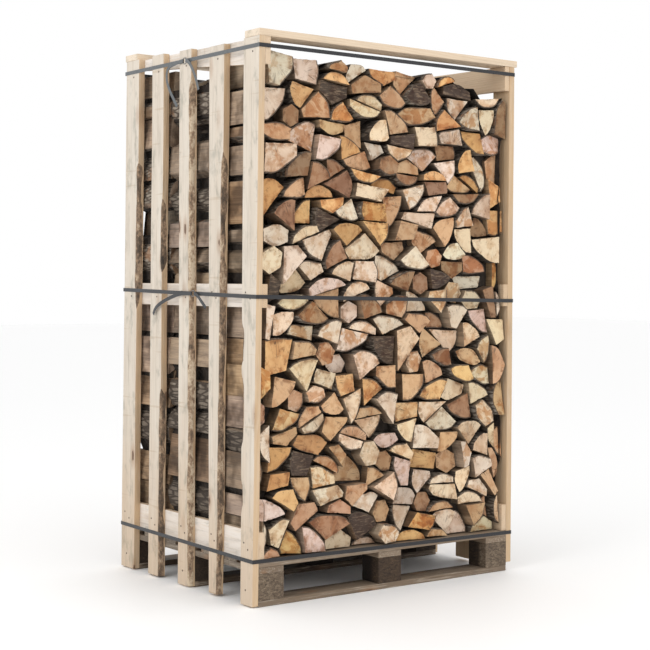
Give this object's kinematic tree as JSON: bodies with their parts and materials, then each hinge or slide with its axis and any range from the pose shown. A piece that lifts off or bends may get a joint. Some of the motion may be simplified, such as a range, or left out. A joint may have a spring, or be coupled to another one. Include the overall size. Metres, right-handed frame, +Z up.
{
  "type": "crate of firewood",
  "caption": "Tall pallet crate packed with rows of split logs between slatted side panels, held by flat black straps with wire buckles.",
  "frame": {"origin": "on the ground under the middle of the pallet", "axes": "+Z up, X along the long front face from left to right, the front face looks along -Y; the racked left panel leans towards -Y"},
  "size_m": [1.2643, 0.9978, 2.0428],
  "materials": {
    "sawn_slat": "rough sawn, unplaned",
    "weathered_board": "weathered, rough",
    "pallet_block": "pressed chips, matt",
    "firewood": "split and sawn, with bark",
    "strap_black": "woven polyester strap, dull",
    "buckle_wire": "galvanised wire"
  },
  "bodies": {
    "root": {"skid_front": "weathered_board", "block_front_left": "pallet_block", "block_front_middle": "pallet_block", "block_front_right": "pallet_block", "skid_middle": "weathered_board", "block_middle_left": "pallet_block", "block_middle_middle": "pallet_block", "block_middle_right": "pallet_block", "skid_back": "weathered_board", "block_back_left": "pallet_block", "block_back_middle": "pallet_block", "block_back_right": "pallet_block", "stringer_left": "weathered_board", "stringer_middle": "weathered_board", "stringer_right": "weathered_board", "deck_board_1": "weathered_board", "deck_board_2": "weathered_board", "deck_board_3": "weathered_board", "deck_board_4": "weathered_board", "deck_board_5": "weathered_board", "deck_board_6": "weathered_board", "deck_board_7": "weathered_board", "left_slat_1": "sawn_slat", "left_slat_2": "sawn_slat", "left_slat_3": "sawn_slat", "left_slat_4": "sawn_slat", "left_slat_5": "sawn_slat", "left_rail_bottom": "sawn_slat", "left_rail_middle": "sawn_slat", "left_rail_top": "sawn_slat", "right_slat_1": "sawn_slat", "right_slat_2": "sawn_slat", "right_slat_3": "sawn_slat", "right_slat_4": "sawn_slat", "right_slat_5": "sawn_slat", "right_rail_bottom": "sawn_slat", "right_rail_middle": "sawn_slat", "right_rail_top": "sawn_slat", "top_board_front": "sawn_slat", "top_board_back": "sawn_slat", "strap_top": "strap_black", "strap_buckle_top": "buckle_wire", "strap_middle": "strap_black", "strap_buckle_middle": "buckle_wire", "strap_bottom": "strap_black", "strap_buckle_bottom": "buckle_wire", "firewood_front": "firewood", "firewood_middle": "firewood", "firewood_back": "firewood"}
  },
  "joints": []
}
